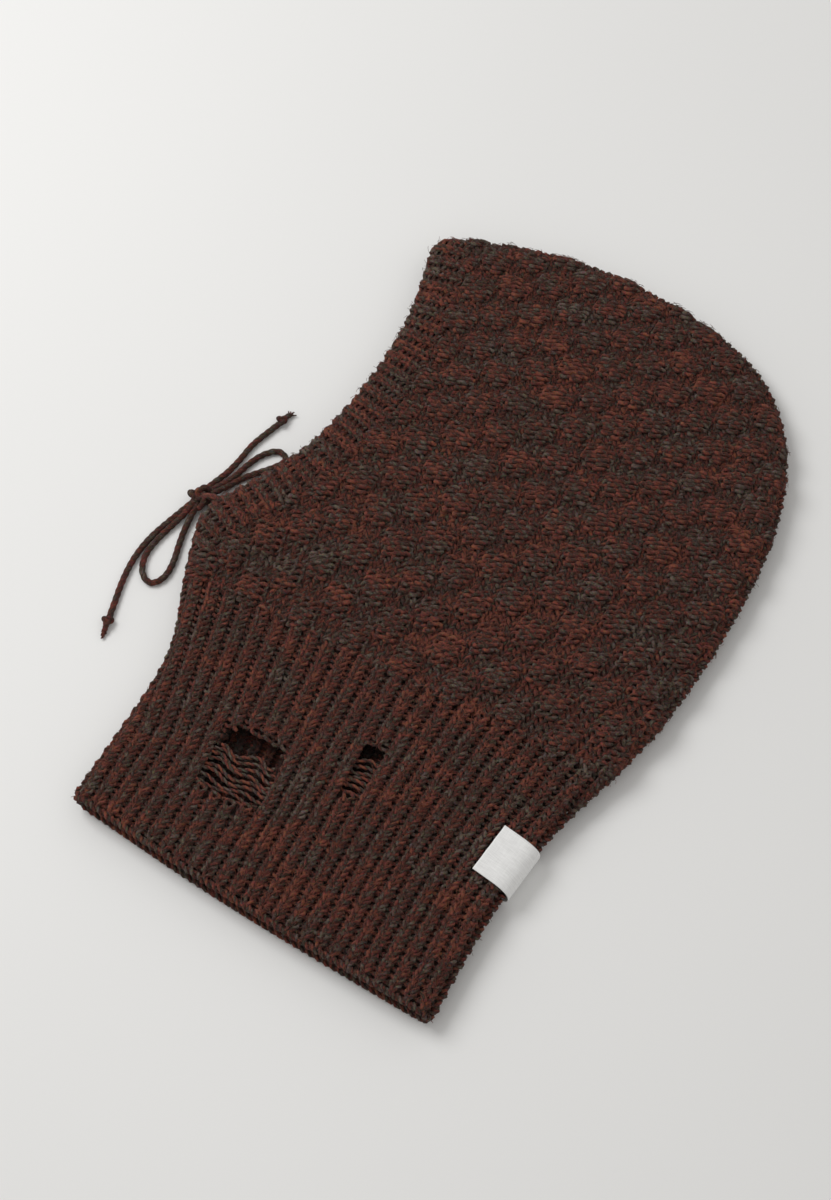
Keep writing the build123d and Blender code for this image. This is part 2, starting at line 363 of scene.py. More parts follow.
def run_on(line, before, after):
    """A line with straight stretches added at its two ends."""
    first = unit(line[0] - line[3])
    last = unit(line[-1] - line[-4])
    head = [line[0] + first * reach for reach in np.arange(before, 0, -1.0)]
    tail = [line[-1] + last * reach for reach in np.arange(1.0, after + 1)]
    return np.array(head + list(line) + tail)


def softened(line, reach):
    """A line of points 1 mm apart with its corners rounded over reach points, an odd number."""
    share = np.hanning(reach + 2)[1:-1]
    share = share / share.sum()
    padded = np.pad(line, ((reach // 2, reach // 2), (0, 0)), mode="edge")
    return np.stack([np.convolve(padded[:, k], share, mode="valid") for k in range(2)], axis=1)


forehead_cap = evenly(np.array([crown_line[-1], face_line[0]]), 1.0)
casing_line = run_on(face_line, 26.0, 30.0)
upper_edge = np.concatenate([run_on(crown_line, 25.0, 0)[:-1], run_on(forehead_cap, 0, 20.0)])
upper_map = DistanceMap(softened(upper_edge, CORNER_REACH))
lower_map = DistanceMap(run_on(throat_line, 20.0, 25.0))
face_map = DistanceMap(casing_line)


# ------------ from flat fabric to the lying hood
ROLL_SPARE = (math.pi / 2 - 1) * ROLL   # fabric used up by a rolled edge, beyond the outline
EDGE_MARGIN = 0.5            # the fabric left before a closed edge, where the stitches stop
SWELL_PITCH = 95.0           # the fabric's slow ups and downs
SWELL_DEPTH = 0.45
SWELL_SEED = {"left": 3, "right": 4}
RESTING = 1.4                # the lowest a yarn's middle can lie


def closed_distance(points):
    """Fabric left before the nearer closed edge, and the direction away from that edge."""
    upper, lower = upper_map.distance(points), lower_map.distance(points)
    use_upper = (upper < lower)[..., None]
    inward = np.where(use_upper, upper_map.inward(points), lower_map.inward(points))
    return np.minimum(upper, lower) + ROLL_SPARE - EDGE_INSET, inward


def within_edges(points, margin=EDGE_MARGIN):
    """Whether fabric points lie clear of the closed edges."""
    return closed_distance(points)[0] > margin


def swell(points, side):
    """Slow, smooth ups and downs over one half's fabric."""
    dice = np.random.default_rng(SWELL_SEED[side])
    total = np.zeros(points.shape[:-1])
    for _ in range(5):
        heading = dice.uniform(0, TAU)
        pitch = SWELL_PITCH * dice.uniform(0.7, 1.5)
        wave = points[..., 0] * math.cos(heading) + points[..., 1] * math.sin(heading)
        total += np.sin(TAU * wave / pitch + dice.uniform(0, TAU))
    return SWELL_DEPTH * total / 2.2


def smooth_step(value, low, high):
    """From 0 at low to 1 at high, with soft ends."""
    share = np.clip((value - low) / (high - low), 0, 1)
    return share * share * (3 - 2 * share)


def turned_under(places):
    """Places of the upper half turned into places of the lower one, pressed flat by the table."""
    height = LAY_HEIGHT - places[..., 2]
    pressed = RESTING * (1 + np.exp(np.minimum(height - 2 * RESTING, 0) / RESTING))
    places[..., 2] = np.where(height < 2 * RESTING, pressed, height)
    return places


def lay(points, lift, side):
    """Flat fabric points, rolled down at the closed edges, as places of the left or right half."""
    reach, inward = closed_distance(points)
    turn = np.clip(reach / ROLL, 0, math.pi / 2)
    rolled = ROLL * (1 - np.cos(turn))
    shift = np.where(reach < ROLL * math.pi / 2, rolled - (reach - ROLL_SPARE), 0.0)
    plan = points + inward * shift[..., None]
    normal = raised(-inward * np.cos(turn)[..., None], np.sin(turn))
    height = MID_Z + (FABRIC_LEVEL - MID_Z) * np.sin(turn) + np.minimum(reach, 0)
    lift = lift + swell(points, side)
    places = raised(plan, height) + normal * lift[..., None]
    return turned_under(places) if side == "right" else places


def placed(side):
    """The way from fabric to the upper (left) or lower (right) half."""
    return lambda x, y, lift: lay(np.stack([x, y], axis=-1), lift, side)


def path_on(place_on, x, y, lift):
    """A path on the fabric and the fabric's normals along it."""
    path = place_on(x, y, lift)
    return path, unit(place_on(x, y, lift + PROBE) - path)


# ------------ yarn as mesh
class YarnPile:
    """Tubes gathered into one mesh, with what the shader needs at each vertex."""

    # the last mark is the yarn's painted shade, from 0 on the outside to 1 deep in the fabric
    MARKS = ("along", "ply_cos", "ply_sin", "tint", "deep")
    ALONG_START = 400.0          # each yarn's colours start somewhere in a length of this

    def __init__(self, sides):
        self.sides = sides
        self.angles = TAU * np.arange(sides) / sides
        self.vertices, self.faces, self.marks, self.flats = [], [], [], []
        self.count, self.strips = 0, 0

    def circle(self, up, across):
        """A ring of directions round each point, from its directions up and across."""
        cos, sin = np.cos(self.angles)[:, None], np.sin(self.angles)[:, None]
        return cos * up[..., None, :] + sin * across[..., None, :]

    def flat_strips(self, numbers, share):
        """Flat coordinates of tubes' corners: the length along u, and the girth in a strip of v."""
        numbers = np.reshape(numbers, (-1, 1, 1, 1))
        u = np.stack([share[:-1], share[:-1], share[1:], share[1:]], axis=-1)[:, None, :]
        v = numbers + (np.arange(self.sides)[:, None] + np.array([0, 1, 1, 0])) / self.sides
        body = np.stack(np.broadcast_arrays(u, v), axis=-1)
        ends = np.empty((2, numbers.size, self.sides // 2 - 1, 4, 2))
        ends[..., 0] = np.reshape(share[[0, -1]], (2, 1, 1, 1))
        ends[..., 1] = numbers[..., 0] + 0.5
        return np.concatenate([body.reshape(-1, 4, 2), ends.reshape(-1, 4, 2)])

    def add_tubes(self, vertices, share, *marks):
        """Tubes from vertices by tube, point and side, an even number, with a value for each of MARKS."""
        grid = self.count + np.arange(vertices.size // 3).reshape(vertices.shape[:3])
        after = np.roll(grid, -1, axis=2)
        quads = np.stack([grid[:, :-1], after[:, :-1], after[:, 1:], grid[:, 1:]], axis=-1)
        self.faces.append(quads.reshape(-1, 4))
        low = np.arange(self.sides // 2 - 1)
        high = self.sides - 1 - low
        for ring in (grid[:, 0, ::-1], grid[:, -1]):
            cap = np.stack([ring[:, low], ring[:, low + 1], ring[:, high - 1], ring[:, high]], axis=-1)
            self.faces.append(cap.reshape(-1, 4))
        self.flats.append(self.flat_strips(self.strips + np.arange(len(grid)), share))
        table = np.stack([np.broadcast_to(mark, grid.shape) for mark in marks], axis=-1)
        self.vertices.append(vertices.reshape(-1, 3))
        self.marks.append(table.reshape(-1, len(self.MARKS)))
        self.count += grid.size
        self.strips += len(grid)

    def add(self, path, normals, radius, twist_pitch=8.0, ply_depth=0.16, plies=2, deep=0.0):
        """One yarn along path, with painted shade from 0 on the outside to 1 deep inside the fabric."""
        along = lengths_along(path)
        tint = random.uniform(0, 1)
        phase = self.angles[None, :] - TAU * along[:, None] / twist_pitch + TAU * tint
        size = np.reshape(radius, (-1, 1)) * (1 - ply_depth + ply_depth * np.cos(plies * phase))
        vertices = path[:, None, :] + size[..., None] * self.circle(*square_to(path, normals))
        start = (along + random.uniform(0, self.ALONG_START))[:, None]
        deep = np.reshape(deep, (-1, 1))
        self.add_tubes(vertices[None], along / along[-1], start, np.cos(phase), np.sin(phase), tint, deep)

    def add_fibres(self, paths, normals, radius):
        """Many fine fibres at once, each a row of paths."""
        fibres, points = paths.shape[:2]
        tangent = unit(np.gradient(paths, axis=1))
        across = unit(np.cross(tangent, normals[:, None, :]))
        vertices = paths[:, :, None, :] + radius * self.circle(np.cross(across, tangent), across)
        along = random.uniform(0, self.ALONG_START, (fibres, 1, 1)) + np.arange(points)[:, None]
        tint = random.uniform(0, 1, (fibres, 1, 1))
        share = np.arange(points) / (points - 1)
        self.add_tubes(vertices, share, along, np.cos(self.angles), np.sin(self.angles), tint, 0.0)

    def build(self, name, material, slot, body, nodes):
        """The pile as one shaded piece that rides on a body and stands for CAD nodes."""
        marks = np.concatenate(self.marks)
        piece = mesh_piece(name, np.concatenate(self.vertices) * MM, np.concatenate(self.faces), material)
        flat = np.concatenate(self.flats) / (1.0, self.strips)
        piece.data.uv_layers.new(name="OFBake").data.foreach_set("uv", flat.astype(np.float32).ravel())
        for index, title in enumerate(self.MARKS):
            layer = piece.data.attributes.new(title, "FLOAT", "POINT")
            layer.data.foreach_set("value", marks[:, index].astype(np.float32))
        return settle(piece, slot, body, nodes)


def mesh_piece(name, vertices, faces, material):
    """A smooth-shaded object made of quads."""
    mesh = bpy.data.meshes.new(name)
    mesh.vertices.add(len(vertices))
    mesh.vertices.foreach_set("co", vertices.astype(np.float32).ravel())
    mesh.loops.add(faces.size)
    mesh.loops.foreach_set("vertex_index", faces.astype(np.int32).ravel())
    mesh.polygons.add(len(faces))
    mesh.polygons.foreach_set("loop_start", 4 * np.arange(len(faces), dtype=np.int32))
    mesh.polygons.foreach_set("use_smooth", np.ones(len(faces), bool))
    mesh.update(calc_edges=True)
    mesh.materials.append(material)
    piece = bpy.data.objects.new(name, mesh)
    bpy.context.scene.collection.objects.link(piece)
    return piece


def settle(piece, slot, body, nodes):
    """Fix a finished piece to its body, its material slot and the CAD nodes it stands for."""
    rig.ride(piece, body)
    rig.slot(piece, slot)
    if nodes:
        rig.replaces(piece, *nodes)
    return piece


# ------------ materials
class Shader:
    """A material whose nodes are added by name."""

    def __init__(self, name, roughness, sheen=0.0, specular=0.3):
        self.material = bpy.data.materials.new(name)
        self.material.use_nodes = True
        self.nodes = self.material.node_tree.nodes
        self.links = self.material.node_tree.links
        self.surface = self.nodes["Principled BSDF"]
        self.surface.inputs["Roughness"].default_value = roughness
        self.surface.inputs["Specular IOR Level"].default_value = specular
        self.surface.inputs["Sheen Weight"].default_value = sheen
        self.surface.inputs["Sheen Roughness"].default_value = 0.45

    def give(self, socket, value):
        """Set an input to a constant, or to what another node gives."""
        if isinstance(value, bpy.types.NodeSocket):
            self.links.new(value, socket)
        else:
            socket.default_value = value

    def worked_out(self, node, values):
        """A node's outcome over values for its first inputs, each a constant or a socket."""
        for socket, value in zip(node.inputs, values):
            self.give(socket, value)
        return node.outputs[0]

    def math(self, operation, *values):
        """A maths node over two values."""
        node = self.nodes.new("ShaderNodeMath")
        node.operation = operation
        return self.worked_out(node, values)

    def plus(self, first, second):
        return self.math("ADD", first, second)

    def minus(self, first, second):
        return self.math("SUBTRACT", first, second)

    def times(self, first, second):
        return self.math("MULTIPLY", first, second)

    def vector_math(self, operation, *values):
        node = self.nodes.new("ShaderNodeVectorMath")
        node.operation = operation
        return self.worked_out(node, values)

    def vector(self, x, y, z):
        return self.worked_out(self.nodes.new("ShaderNodeCombineXYZ"), (x, y, z))

    def mark(self, name):
        """A value that the mesh holds at each vertex."""
        node = self.nodes.new("ShaderNodeAttribute")
        node.attribute_name = name
        return node.outputs["Fac"]

    def noise(self, vector, scale=1.0, detail=2.0, output="Fac"):
        node = self.nodes.new("ShaderNodeTexNoise")
        self.give(node.inputs["Vector"], vector)
        self.give(node.inputs["Scale"], scale)
        self.give(node.inputs["Detail"], detail)
        return node.outputs[output]

    def object_place(self):
        return self.nodes.new("ShaderNodeTexCoord").outputs["Object"]

    def flat_place(self, u, v):
        """A mesh's flat coordinates, scaled."""
        node = self.nodes.new("ShaderNodeUVMap")
        node.uv_map = "UVMap"
        return self.vector_math("MULTIPLY", node.outputs[0], (u, v, 1.0))

    def ramp(self, value, stops):
        """Colours along a value from 0 to 1."""
        node = self.nodes.new("ShaderNodeValToRGB")
        slots = node.color_ramp.elements
        for _ in range(len(stops) - 2):
            slots.new(0.5)
        for slot, (at, colour) in zip(slots, stops):
            slot.position = at
            slot.color = (*colour, 1)
        self.give(node.inputs["Fac"], value)
        return node.outputs["Color"]

    def flecked(self, colour, vector, strength, bright):
        """A colour, made brighter, with fine flecks that are redder, greener or bluer than it."""
        flecks = self.noise(vector, output="Color")
        spread, base = [bright * strength] * 3, [bright * (1 - strength / 2)] * 3
        return self.vector_math("MULTIPLY", colour, self.vector_math("MULTIPLY_ADD", flecks, spread, base))

    def dimmed(self, colour, factor):
        """A colour times a value."""
        node = self.nodes.new("ShaderNodeVectorMath")
        node.operation = "SCALE"
        self.give(node.inputs[0], colour)
        self.give(node.inputs["Scale"], factor)
        return node.outputs[0]

    def colour(self, value):
        self.give(self.surface.inputs["Base Color"], value)

    def bump(self, height, distance):
        node = self.nodes.new("ShaderNodeBump")
        self.give(node.inputs["Distance"], distance * MM)
        self.give(node.inputs["Height"], height)
        self.give(self.surface.inputs["Normal"], node.outputs["Normal"])


PALE_GREY = (0.125, 0.092, 0.073)
OLIVE = (0.046, 0.033, 0.023)
CHARCOAL = (0.034, 0.022, 0.016)
DARK_BROWN = (0.030, 0.012, 0.008)
BRICK = (0.096, 0.023, 0.017)
ROSE = (0.135, 0.038, 0.033)
RUST = (0.19, 0.062, 0.036)
MARL = ((0.0, PALE_GREY), (0.18, OLIVE), (0.42, CHARCOAL), (0.54, DARK_BROWN), (0.66, BRICK), (0.86, ROSE),
        (1.0, RUST))
PATCHES = (42.0, 78.0, 40.0)     # how closely patches of one colour follow each other, along x, y and z
SWAY = {"yarn": 0.45, "patch": 0.75, "stitch": 0.65, "streak": 2.6}   # how far each sways the colour
MIDDLE_DRIFT = 0.59
FLECKS = 2.2
LIGHTEST = 1.06
PAINTED_DEEP_SHADE = 0.75            # painted shade: how much darker the yarn's colour is painted at its deepest


def yarn_material(name, shade=0.0, patch=2.3, ply=0.40, bright=1.0):
    """Marled yarn: brick red and charcoal plies that drift in and out along its length, darkened by painted shade
    where it lies deep in the fabric.
    """
    shader = Shader(name, roughness=0.9, sheen=0.05, specular=0.15)
    plus, minus, times = shader.plus, shader.minus, shader.times
    along, tint = shader.mark("along"), shader.mark("tint")
    ply_cos, ply_sin = shader.mark("ply_cos"), shader.mark("ply_sin")

    def round_the_yarn(fine, pitch):
        return shader.vector(times(ply_cos, fine), times(ply_sin, fine), times(along, pitch))

    yarn = shader.noise(shader.vector(times(along, 0.04), tint, 0.0), detail=3.0)
    area = shader.noise(shader.vector_math("MULTIPLY", shader.object_place(), PATCHES))
    stitch = shader.noise(shader.vector(times(along, 0.2), tint, 5.0))
    streak = shader.noise(round_the_yarn(5.5, 0.7), detail=4.0)
    drift = plus(times(yarn, SWAY["yarn"]), times(area, SWAY["patch"]))
    drift = plus(drift, times(minus(stitch, 0.5), SWAY["stitch"]))
    mix = plus(times(minus(drift, MIDDLE_DRIFT - shade), patch), times(ply_cos, ply))
    mix = plus(plus(mix, times(minus(streak, 0.5), SWAY["streak"])), 0.5)
    marl = shader.flecked(shader.ramp(mix, MARL), round_the_yarn(2.5, 1.1), FLECKS, bright)
    # Painted shade: the marl is scaled by LIGHTEST, less a painted shade that grows as the yarn lies deeper in the
    # fabric.
    shader.colour(shader.dimmed(marl, minus(LIGHTEST, times(shader.mark("deep"), PAINTED_DEEP_SHADE))))
    shader.bump(streak, 0.55)
    return shader.material


def gap_shade_material(name):
    """Painted shade: the inside of the knit, coloured as dark as yarn in shadow, seen only between its yarns."""
    shader = Shader(name, roughness=0.95)
    patches = shader.noise(shader.object_place(), 140.0, 4.0)
    # dark browns of painted shade
    shader.colour(shader.ramp(patches, [(0.3, (0.016, 0.011, 0.008)), (0.7, (0.026, 0.012, 0.008))]))
    shader.bump(shader.noise(shader.object_place(), 900.0, 3.0), 0.5)
    return shader.material


def label_material(name):
    """White woven satin with a fine thread."""
    shader = Shader(name, roughness=0.55, sheen=0.1, specular=0.4)
    warp = shader.noise(shader.flat_place(160.0, 1500.0))
    weft = shader.noise(shader.flat_place(2200.0, 120.0))
    weave = shader.plus(warp, shader.times(weft, 0.6))
    shader.colour(shader.ramp(weave, [(0.4, (0.70, 0.70, 0.69)), (1.0, (0.86, 0.86, 0.85))]))
    shader.bump(weave, 0.08)
    return shader.material


hood_yarn = yarn_material("basketweave_yarn")
rib_yarn = yarn_material("rib_yarn")
casing_yarn = yarn_material("casing_yarn")
seam_yarn = yarn_material("seam_yarn", shade=-0.02)
fuzz_yarn = yarn_material("fuzz", bright=1.5)
loose_yarn = yarn_material("loose_yarn", shade=0.06, patch=1.8, ply=0.5)
cord_yarn = yarn_material("drawcord_yarn", patch=1.6, ply=0.12)
gap_shade_finish = gap_shade_material("knit_ground")
label_satin = label_material("label_satin")


# ------------ one course of stitches
LEAN = {"hood": 0.34, "rib": 0.40, "casing": 0.26}   # how far a knit loop's legs lean, in columns
PURL_LEAN = 0.34
FULL_PAINTED_SHADE_DEPTH = {"hood": 1.9, "rib": 2.4, "casing": 1.8}   # yarn this far down gets its darkest painted shade
SLIP = (0.26, 0.26, 0.18)    # how unevenly the yarn lies along x, y and z
LOOP = {"hood": 1.7, "rib": 1.9, "casing": 1.9}      # a loop's height, in rows
LOOP_DEPTH = {"hood": 0.7, "rib": 0.6, "casing": 0.3}   # how far it stands in front and behind
FIBRE_ROOTS = {"rib": [], "hood": [], "casing": []}   # where fibres can stand off the upper half
FINE = {"sides": 8, "steps": 12}
COARSE = {"sides": 6, "steps": 8}


def course_path(q, row, fabric):
    """One course's yarn, where q counts columns: its path, normals, its painted shade from how deep it is, and where
    in front.
    """
    name, front = fabric["name"], fabric["front"](q, row)
    knots = np.arange(math.floor(q[0]), math.ceil(q[-1]) + 1, 0.5)
    slip = [np.interp(q, knots, random.normal(0, size, len(knots))) for size in SLIP]
    knit_share = np.maximum(front, 0)
    lean = PURL_LEAN + (LEAN[name] - PURL_LEAN) * knit_share
    once, twice, swing = np.cos(TAU * q), np.cos(2 * TAU * q), np.sin(2 * TAU * q)
    column = fabric["spread"](q) + lean * swing + fabric["slant"] * knit_share * once
    x = fabric["across"](column, row) + slip[0]
    y = fabric["row_y"](row, x) + slip[1] - 0.5 * LOOP[name] * fabric["course"](row) * once
    y = y - fabric["tilt"] * np.minimum(front, 0) * swing
    lift = fabric["relief"](q, row, column) + slip[2] - front * LOOP_DEPTH[name] * twice
    path, normals = path_on(fabric["place"], x, y, lift)
    # the deeper the yarn lies in the fabric, the more painted shade it gets
    return path, normals, np.clip(-lift / FULL_PAINTED_SHADE_DEPTH[name], 0, 1), front * twice < 0


def runs_of(kept):
    """First and last index of each run of True values."""
    edges = np.diff(np.concatenate([[0], kept.astype(int), [0]]))
    return list(zip(np.where(edges == 1)[0], np.where(edges == -1)[0] - 1))


def knit(pile, rows, columns, fabric, steps):
    """Courses of a fabric over the columns where it has stitches."""
    q = np.arange(columns[0], columns[1])
    for row in rows:
        x = fabric["across"](q + 0.5, row)
        kept = fabric["kept"](x, fabric["row_y"](row, x))
        for first, last in runs_of(kept):
            if last - first < 1:
                continue
            along = np.arange(q[first] * steps, (q[last] + 1) * steps + 1) / steps
            path, normals, deep, ahead = course_path(along, row, fabric)
            size = YARN[fabric["name"]] * random.uniform(0.95, 1.05)
            pile.add(path, normals, size, deep=deep)
            roots = np.concatenate([path + normals * size, tangents(path), normals], axis=1)
            if fabric["side"] == "left":
                FIBRE_ROOTS[fabric["name"]].append(roots[ahead])


def in_hole(points, margin=0.0):
    """Whether fabric points lie in one of the worn holes."""
    inside = np.zeros(len(points), bool)
    for hole in HOLES.values():
        (x_low, x_high), (y_low, y_high) = hole["x"], hole["y"]
        across = (2 * points[:, 0] - x_low - x_high) / (x_high - x_low + 2 * margin)
        up = (2 * points[:, 1] - y_low - y_high) / (y_high - y_low + 2 * margin)
        inside |= np.abs(across)**3 + np.abs(up)**3 < 1
    return inside


def column_x(column, y):
    """Where a column of stitches lies at a height."""
    return COLUMN_START + COLUMN * column * np.interp(y, FAN_Y, FAN_SIZE)


def hem_y(x):
    """The hem's place at each x, carried on in line past its ends."""
    first, last = hem_line[0], hem_line[-1]
    slope = (last[1] - first[1]) / (last[0] - first[0])
    inside = np.interp(x, hem_line[:, 0], hem_line[:, 1])
    return inside + slope * (np.minimum(x - first[0], 0) + np.maximum(x - last[0], 0))


# ------------ neck rib
RIB_SPREAD = 0.13            # how far a knit column spreads over its neighbours, in columns
RIB_RISE = 1.4               # how far a knit column stands up
RIB_ROUND = 2.8              # how much lower its sides lie than its middle
RIB_SINK = 3.2               # how far a purl column lies down
RIB_EASE = 1.7               # how abruptly knit turns to purl
HEM_ROW = 2.2                # room for the bind-off chain


def rib_row_y(row, x):
    share = (row + 0.5) / RIB_COURSES
    return RIB_TOP_Y + share * (hem_y(x) + HEM_ROW - RIB_TOP_Y)


def rib_front(q, purl):
    """1 on knit columns and -purl on purl ones, easing over between them."""
    return np.clip(RIB_EASE * np.sin(math.pi * q), -purl, 1)


def rib_spread(q):
    """Columns with the knit ones widened over the purl ones."""
    return q - RIB_SPREAD * np.cos(math.pi * q)


def rib_relief(q, row, column):
    """Knit columns are rounded cords, and purl columns the valleys between them."""
    wave = np.sin(math.pi * q)
    off_centre = column - 2 * np.floor(q / 2) - 0.5
    cord = np.sqrt(np.abs(wave)) * (RIB_RISE - RIB_ROUND * off_centre**2)
    return np.where(wave > 0, cord, RIB_SINK * wave)


def rib_fabric(side):
    """1x1 rib: every second column stands forward as knit."""
    def kept(x, y):
        points = np.stack([x, y], axis=-1)
        return within_edges(points) & ~(in_hole(points) & (side == "left"))

    return {
        "front": lambda q, row: rib_front(q, 0.6), "spread": rib_spread,
        "across": lambda column, row: column_x(column, rib_row_y(row, 0.0)),
        "relief": rib_relief, "row_y": rib_row_y, "course": lambda row: RIB_COURSE,
        "name": "rib", "tilt": 0.3, "slant": 0.0, "kept": kept, "place": placed(side), "side": side,
    }


# ------------ basketweave hood
PILLOW = {"purl": 2.1, "knit": 1.2}
CREASE = 1.1                 # depth of the creases down the sides of the blocks
CREASE_WIDTH = 0.3


def hood_levels():
    """The heights of the courses, from the rib to past the crown."""
    levels = [RIB_TOP_Y]
    while levels[-1] < HALF_LENGTH + 12:
        levels.append(levels[-1] + float(np.interp(levels[-1], COURSE_Y, COURSE_SIZE)))
    return levels


HOOD_LEVELS = hood_levels()
HOOD_ROWS = len(HOOD_LEVELS) - 1


def block_sign(q, row):
    """1 in knit blocks and -1 in purl blocks, easing over at their sides."""
    wave = np.clip(2.6 * np.sin(math.pi * q / BLOCK_WALES), -1, 1)
    return wave * (1 if row // BLOCK_COURSES % 2 == 0 else -1)


def block_relief(q, row, column):
    """Purl blocks puff up like pillows, knit blocks sink between them, and their sides are creased."""
    sign = block_sign(q, row)
    across = np.abs(np.sin(math.pi * q / BLOCK_WALES))
    up = math.sin(math.pi * (row % BLOCK_COURSES + 0.5) / BLOCK_COURSES)**0.5
    pillow = across**0.6 * up * np.where(sign < 0, -sign * PILLOW["purl"], -sign * PILLOW["knit"])
    return pillow - CREASE * np.exp(-(across / CREASE_WIDTH)**2)


def hood_fabric(side):
    """Blocks of knit and purl in a chequer."""
    def kept(x, y):
        points = np.stack([x, y], axis=-1)
        return within_edges(points) & (face_map.distance(points) > CASING_WIDTH + SEAM_GAP)

    return {
        "front": block_sign, "spread": lambda q: q, "relief": block_relief,
        "across": lambda column, row: column_x(column, HOOD_LEVELS[row]),
        "row_y": lambda row, x: (HOOD_LEVELS[row] + HOOD_LEVELS[row + 1]) / 2 + 0 * x,
        "course": lambda row: HOOD_LEVELS[row + 1] - HOOD_LEVELS[row],
        "name": "hood", "tilt": 0.9, "slant": 0.12, "kept": kept, "place": placed(side), "side": side,
    }


def in_bands(count, size):
    """The rows from 0 to count in bands of size."""
    return [range(low, min(low + size, count)) for low in range(0, count, size)]


def make_knit(region, fabric_of, count, bands, material, slot, node):
    """A knit region of both halves, in bands of courses."""
    for side, detail in (("left", FINE), ("right", COARSE)):
        for number, rows in enumerate(in_bands(count, bands[side])):
            pile = YarnPile(detail["sides"])
            knit(pile, rows, COLUMNS, fabric_of(side), detail["steps"])
            if pile.count:
                name = f"{region}_{side}_band_{number + 1}"
                pile.build(name, material, slot, "hood", [f"{node}_{side}"])


make_knit("neck_rib", rib_fabric, RIB_COURSES, {"left": 13, "right": 20}, rib_yarn, "rib_knit", "neck_rib")
make_knit(
    "hood", hood_fabric, HOOD_ROWS, {"left": 15, "right": 30}, hood_yarn, "basketweave_knit", "hood_panel",
)


# ------------ face casing
CASING_PROFILE = spline_through([
    (23.5, 14.3), (17.0, 15.4), (10.5, 16.2), (5.2, 16.0), (2.2, 14.1), (5.2, 12.3), (11.0, 12.0),
    (19.0, 12.2),
])
CASING_COURSE = 3.3
CASING_WALE = 4.35
CASING_RELIEF = 0.85
casing_lengths = lengths_along(casing_line)
casing_sides = tangents(casing_line)
profile_lengths = lengths_along(CASING_PROFILE)
profile_normal = -left_of(tangents(CASING_PROFILE))


def casing_points(s, across):
    """Fabric points at lengths s along the face edge, and at distances from it."""
    left = left_of(unit(table_at(casing_sides, casing_lengths, s)))
    return table_at(casing_line, casing_lengths, s) + across * left


def casing_place(side):
    """The way from casing coordinates, along the edge and round its section, to a half."""
    def place_on(s, w, lift):
        section = table_at(CASING_PROFILE, profile_lengths, w)
        section = section + unit(table_at(profile_normal, profile_lengths, w)) * lift[..., None]
        return lay(casing_points(s, section[..., :1]), section[..., 1] - FABRIC_LEVEL, side)
    return place_on


def casing_fabric(side):
    """A ribbed band whose ribs run round the edge."""
    def kept(s, w):
        section = table_at(CASING_PROFILE, profile_lengths, w)
        return within_edges(casing_points(s, section[..., :1])) & (s > 0) & (s < casing_lengths[-1])

    return {
        "front": lambda q, row: rib_front(q, 1), "spread": rib_spread,
        "across": lambda column, row: CASING_WALE * column,
        "relief": lambda q, row, column: CASING_RELIEF * rib_relief(q, row, column),
        "row_y": lambda row, x: (row + 0.5) * CASING_COURSE + 0 * x,
        "course": lambda row: CASING_COURSE,
        "name": "casing", "tilt": 0.2, "slant": 0.0, "kept": kept, "place": casing_place(side),
        "side": side,
    }


def make_casings():
    """The ribbed tunnel of both halves."""
    rows = range(int(profile_lengths[-1] / CASING_COURSE))
    columns = (0, int(casing_lengths[-1] / CASING_WALE))
    for side, detail in (("left", FINE), ("right", COARSE)):
        pile = YarnPile(detail["sides"])
        knit(pile, rows, columns, casing_fabric(side), detail["steps"])
        pile.build(f"casing_{side}", casing_yarn, "casing_knit", "hood", [f"face_casing_{side}"])


make_casings()


# ------------ fuzz
FUZZ = {"rib": (6000, "rib_knit"), "hood": (6800, "basketweave_knit"), "casing": (900, "casing_knit")}
FIBRE_RADIUS = 0.11
FIBRE_LENGTH = (1.8, 4.6)
LABEL_CLEARANCE = (32.0, 24.0)   # from the label's middle to the nearest fibre's root


def make_fuzz(name, count):
    """Short fine fibres that stand off the yarns and curl back."""
    roots = np.concatenate(FIBRE_ROOTS[name])
    from_label = np.abs(roots[:, :2] - LABEL_MIDDLE)
    roots = roots[(from_label > LABEL_CLEARANCE).any(axis=1)]
    chosen = roots[random.choice(len(roots), count)]
    start, tangent, normal = chosen[:, None, :3], chosen[:, None, 3:6], chosen[:, None, 6:]
    turn = random.normal(0, 0.6, (count, 1, 1)) + math.pi * random.integers(0, 2, (count, 1, 1))
    heading = np.cos(turn) * tangent + np.sin(turn) * np.cross(tangent, normal)
    share = np.linspace(0, 1, 4)[None, :, None]
    length = random.uniform(*FIBRE_LENGTH, (count, 1, 1))
    rise = random.uniform(0.5, 2.2, (count, 1, 1)) * (share - 0.8 * share**2)
    curl = random.normal(0, 0.25, (count, 1, 1)) * length * share**2
    side = np.cross(heading, normal)
    paths = start - 0.1 * normal + length * share * heading + rise * normal + curl * side
    pile = YarnPile(4)
    pile.add_fibres(paths, normal[:, 0], FIBRE_RADIUS)
    return pile


for band in (1, 2):
    for region, (count, slot) in FUZZ.items():
        make_fuzz(region, count).build(f"fuzz_{region}_{band}", fuzz_yarn, slot, "hood", [])


# ------------ the knit's ground: a dark sheet of painted shade under the yarns
GROUND_CELL = 3.0
GROUND_REACH = 9.0           # its grid goes this far past the hood
GROUND_HEM = 2.5             # and it stops this far inside the hem
GROUND_FACE = 8.0            # and inside the face edge
HOOD_GROUND = -2.5
RIB_GROUND = -1.7
GROUND_THICKNESS = 0.8


def sheet_faces(kept):
    """Faces of a grid's kept cells, as grid indices."""
    columns, rows = kept.shape
    grid = np.arange((columns + 1) * (rows + 1)).reshape(columns + 1, rows + 1)
    quads = np.stack([grid[:-1, :-1], grid[1:, :-1], grid[1:, 1:], grid[:-1, 1:]], axis=-1)
    return quads[kept]


